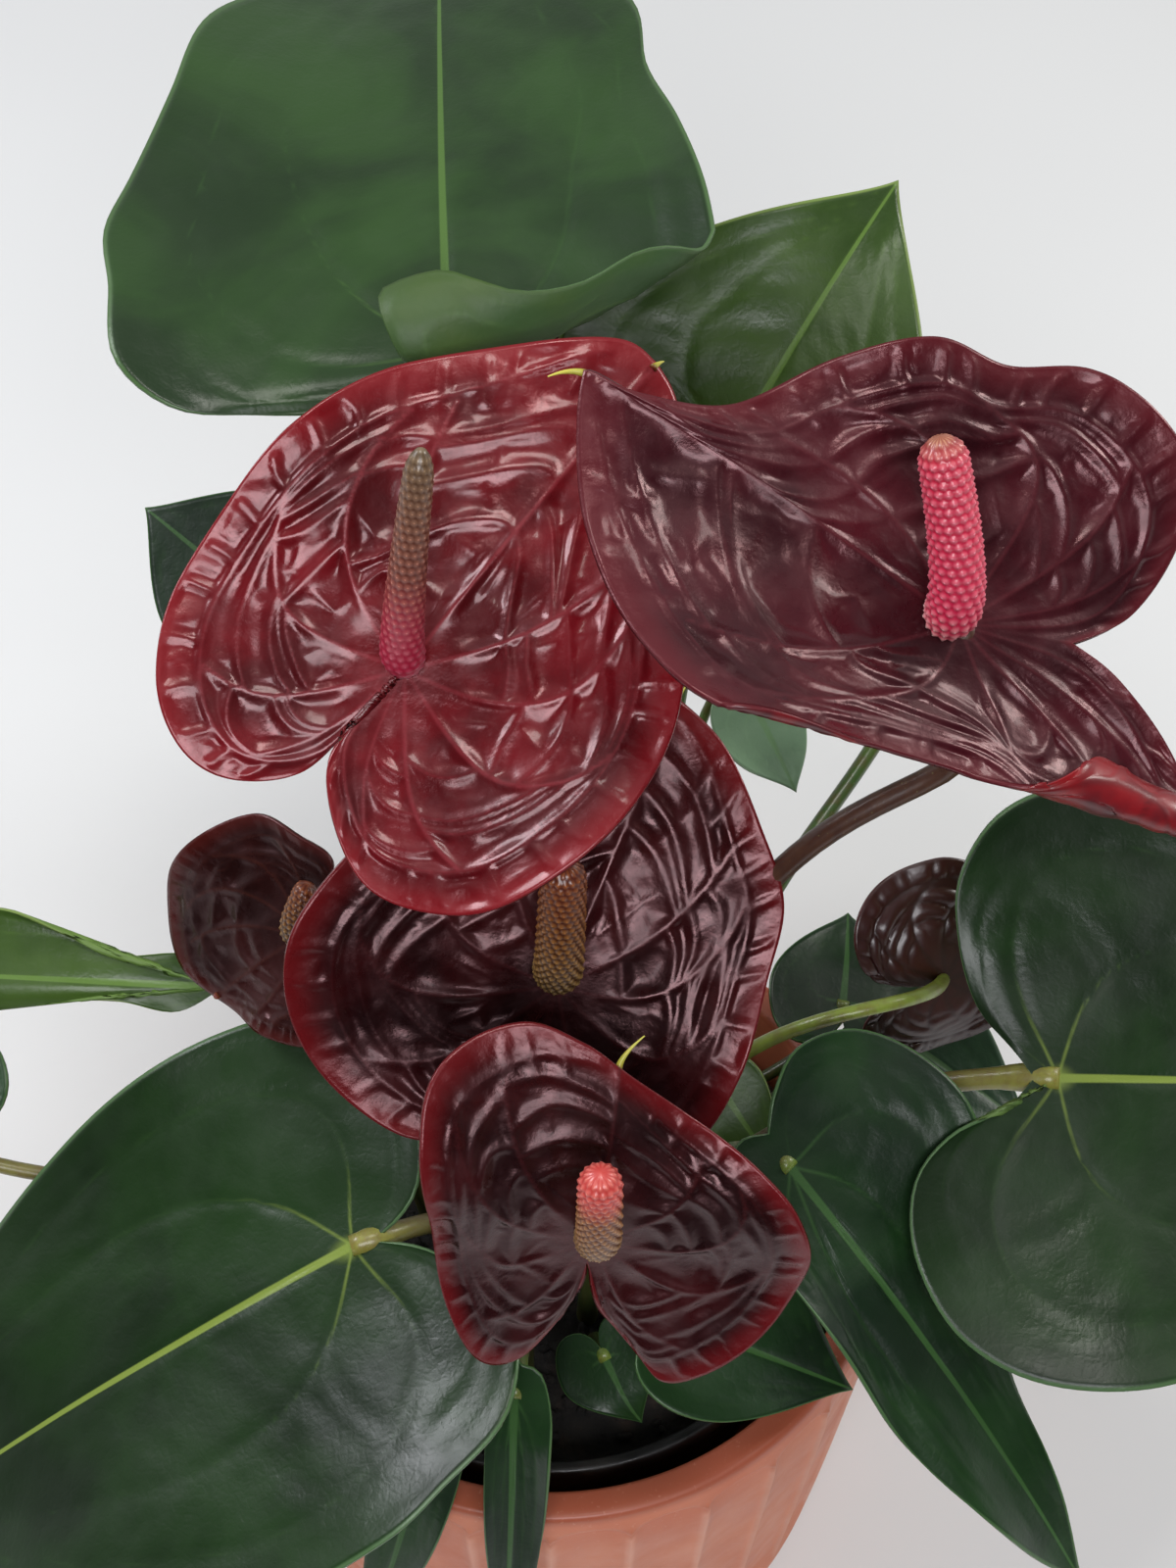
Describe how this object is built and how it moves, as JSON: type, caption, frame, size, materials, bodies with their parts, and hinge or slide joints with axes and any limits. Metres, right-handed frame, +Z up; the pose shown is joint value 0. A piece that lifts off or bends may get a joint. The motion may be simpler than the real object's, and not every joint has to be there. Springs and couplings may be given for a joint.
{
  "type": "potted flamingo flower",
  "caption": "Potted flamingo flower: glossy dark red puckered spathes with knobbly spadices among heart-shaped leaves, in a fluted terracotta-coloured planter.",
  "frame": {"origin": "centre of the planter's flat underside, where the part rests", "axes": "+Z up; the plant's front, with the lowest flower and the hanging leaves, faces -Y; +X to the right"},
  "size_m": [0.3873, 0.3288, 0.357],
  "materials": {
    "planter": "satin terracotta-coloured glaze",
    "nursery_pot": "thin black plastic",
    "soil": "dark peat potting soil with a few white perlite grains",
    "leaf": "leathery dark green leaf, satin above and matt below",
    "stalk": "smooth green to brown-red stalk",
    "spathe_red": "wet-looking gloss, maroon red",
    "spathe_purple": "wet-looking gloss, brownish purple",
    "spathe_dark": "wet-looking gloss, near-black maroon",
    "spadix_pink": "pink, set with small knobs",
    "spadix_brown": "brown, set with small golden knobs"
  },
  "bodies": {
    "root": {"planter": "planter", "nursery_pot": "nursery_pot", "soil": "soil", "spathe_upper_left": "spathe_red", "spadix_upper_left": "spadix_pink", "peduncle_upper_left": "stalk", "spathe_upper_right": "spathe_purple", "spadix_upper_right": "spadix_pink", "peduncle_upper_right": "stalk", "spathe_middle": "spathe_dark", "spadix_middle": "spadix_brown", "peduncle_middle": "stalk", "spathe_front": "spathe_dark", "spadix_front": "spadix_brown", "peduncle_front": "stalk", "spathe_left_small": "spathe_purple", "spadix_left_small": "spadix_brown", "peduncle_left_small": "stalk", "spathe_right_small": "spathe_purple", "spadix_right_small": "spadix_brown", "peduncle_right_small": "stalk", "spathe_rear": "spathe_dark", "spadix_rear": "spadix_pink", "peduncle_rear": "stalk", "leaf_upper_left": "leaf", "leaf_upper_right": "leaf", "leaf_left_small": "leaf", "leaf_lower_left": "leaf", "leaf_left_narrow": "leaf", "leaf_right_large": "leaf", "leaf_right_drooping": "leaf", "leaf_centre_small": "leaf", "leaf_right_behind": "leaf", "leaf_right_rear": "leaf", "leaf_front_right": "leaf", "leaf_front_middle": "leaf", "leaf_front_hanging": "leaf", "leaf_front_left": "leaf", "leaf_rear_small": "leaf", "leaf_left_low": "leaf", "leaf_back_left": "leaf", "leaf_back_middle": "leaf", "leaf_back_right": "leaf"}
  },
  "joints": []
}
